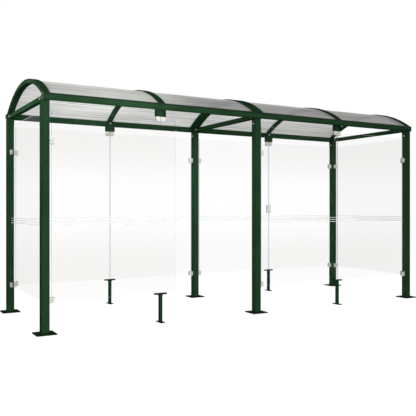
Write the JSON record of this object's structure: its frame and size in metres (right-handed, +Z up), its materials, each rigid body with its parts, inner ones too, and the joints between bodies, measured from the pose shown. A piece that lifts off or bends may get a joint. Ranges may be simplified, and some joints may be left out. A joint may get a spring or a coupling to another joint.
{
  "type": "smoking shelter",
  "caption": "Open-fronted outdoor smoking shelter: square steel posts, barrel roof of translucent sheet on bent arches, and frameless glass walls held in clamps.",
  "frame": {"origin": "centre of the footprint, on the floor under the base plates", "axes": "+X along the shelter, front towards -Y, +Z up"},
  "size_m": [5.2, 1.7, 2.6031],
  "materials": {
    "frame_paint": "satin dark green powder coat",
    "roof_sheet": "translucent multiwall sheet with fine lengthwise ribs",
    "glass": "clear toughened glass",
    "clamp_metal": "pale satin",
    "end_cap": "matt moulded"
  },
  "bodies": {
    "root": {"front_left_post": "frame_paint", "front_middle_post": "frame_paint", "front_right_post": "frame_paint", "rear_left_post": "frame_paint", "rear_middle_post": "frame_paint", "rear_right_post": "frame_paint", "front_base_plates": "frame_paint", "rear_base_plates": "frame_paint", "front_beam": "frame_paint", "rear_beam": "frame_paint", "left_tie": "frame_paint", "middle_tie": "frame_paint", "right_tie": "frame_paint", "left_end_arch": "frame_paint", "left_bay_arch": "frame_paint", "middle_arch": "frame_paint", "right_bay_arch": "frame_paint", "right_end_arch": "frame_paint", "cover_strips": "frame_paint", "front_hangers": "frame_paint", "rear_hangers": "frame_paint", "front_pane_supports": "frame_paint", "rear_pane_supports": "frame_paint", "left_end_roof_sheet": "roof_sheet", "left_middle_roof_sheet": "roof_sheet", "right_middle_roof_sheet": "roof_sheet", "right_end_roof_sheet": "roof_sheet", "left_end_pane": "glass", "right_end_pane": "glass", "front_wide_pane": "glass", "front_inner_pane": "glass", "front_outer_pane": "glass", "rear_left_outer_pane": "glass", "rear_left_inner_pane": "glass", "rear_right_inner_pane": "glass", "rear_right_outer_pane": "glass", "front_clamps": "clamp_metal", "rear_clamps": "clamp_metal", "left_end_clamps": "clamp_metal", "right_end_clamps": "clamp_metal", "hanger_clamps": "clamp_metal", "rear_seam_clamp": "clamp_metal", "beam_caps": "end_cap"}
  },
  "joints": []
}
